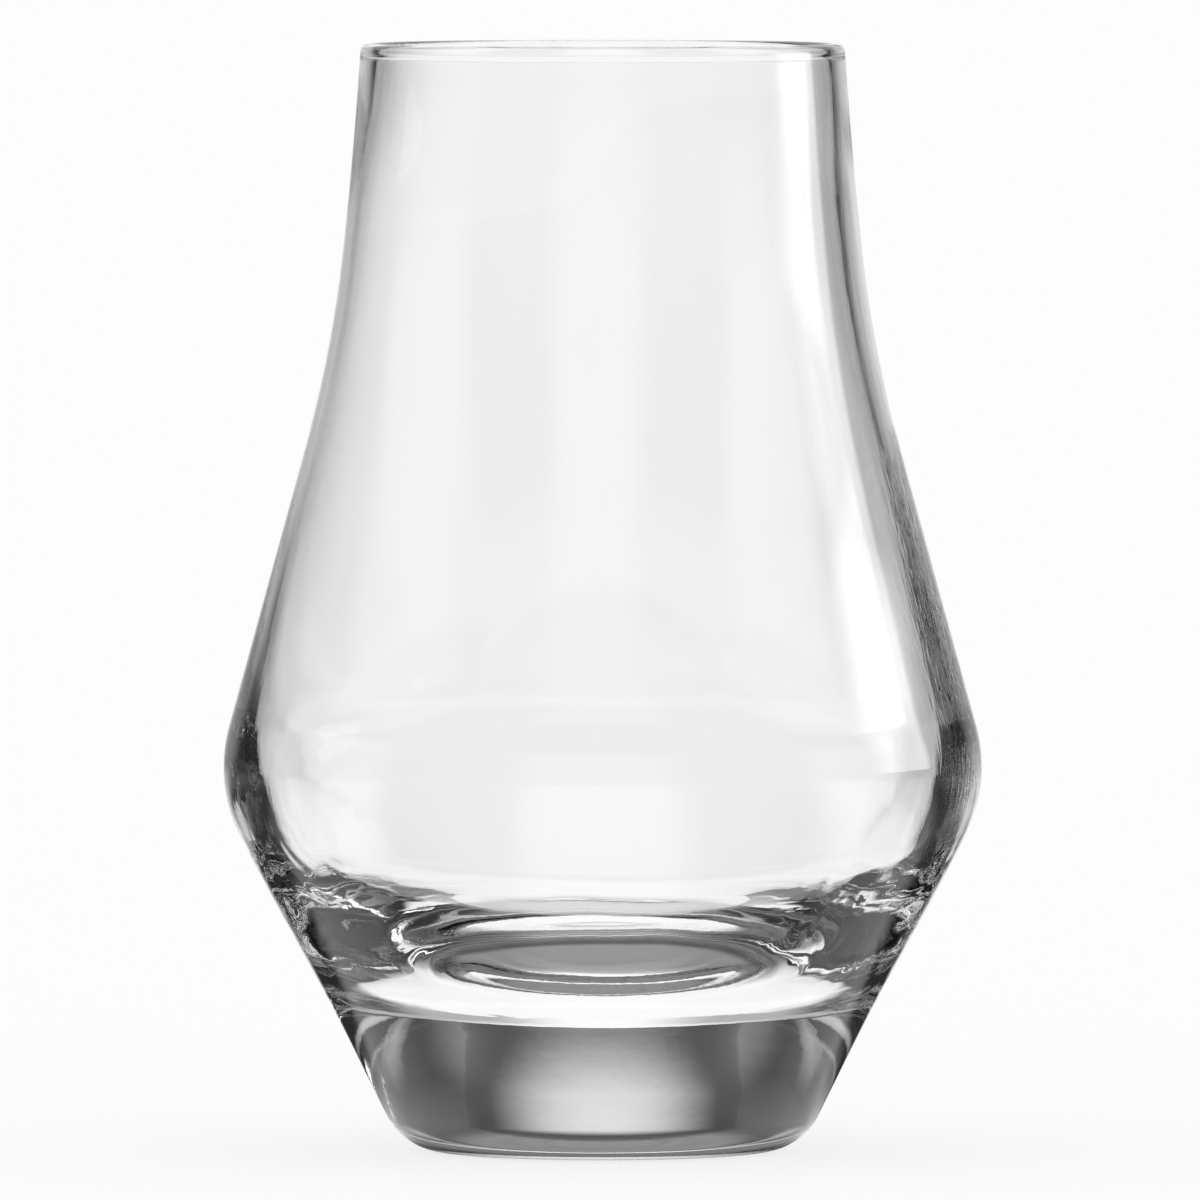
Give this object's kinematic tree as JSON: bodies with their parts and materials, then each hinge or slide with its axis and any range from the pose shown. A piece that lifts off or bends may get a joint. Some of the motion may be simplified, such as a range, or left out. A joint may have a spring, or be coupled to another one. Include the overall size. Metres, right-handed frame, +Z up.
{
  "type": "whisky nosing glass",
  "caption": "Stemless whisky nosing glass with a solid tapering foot, a round belly and a chimney neck that narrows to a polished rim.",
  "frame": {"origin": "middle of the foot, level with the ring that stands on the table", "axes": "+Z up along the glass's axis, from the foot to the rim; round about Z, so X and Y are alike"},
  "size_m": [0.0684, 0.0684, 0.1],
  "materials": {
    "clear_glass": "fire-polished clear glass"
  },
  "bodies": {
    "root": {"glass": "clear_glass"}
  },
  "joints": []
}
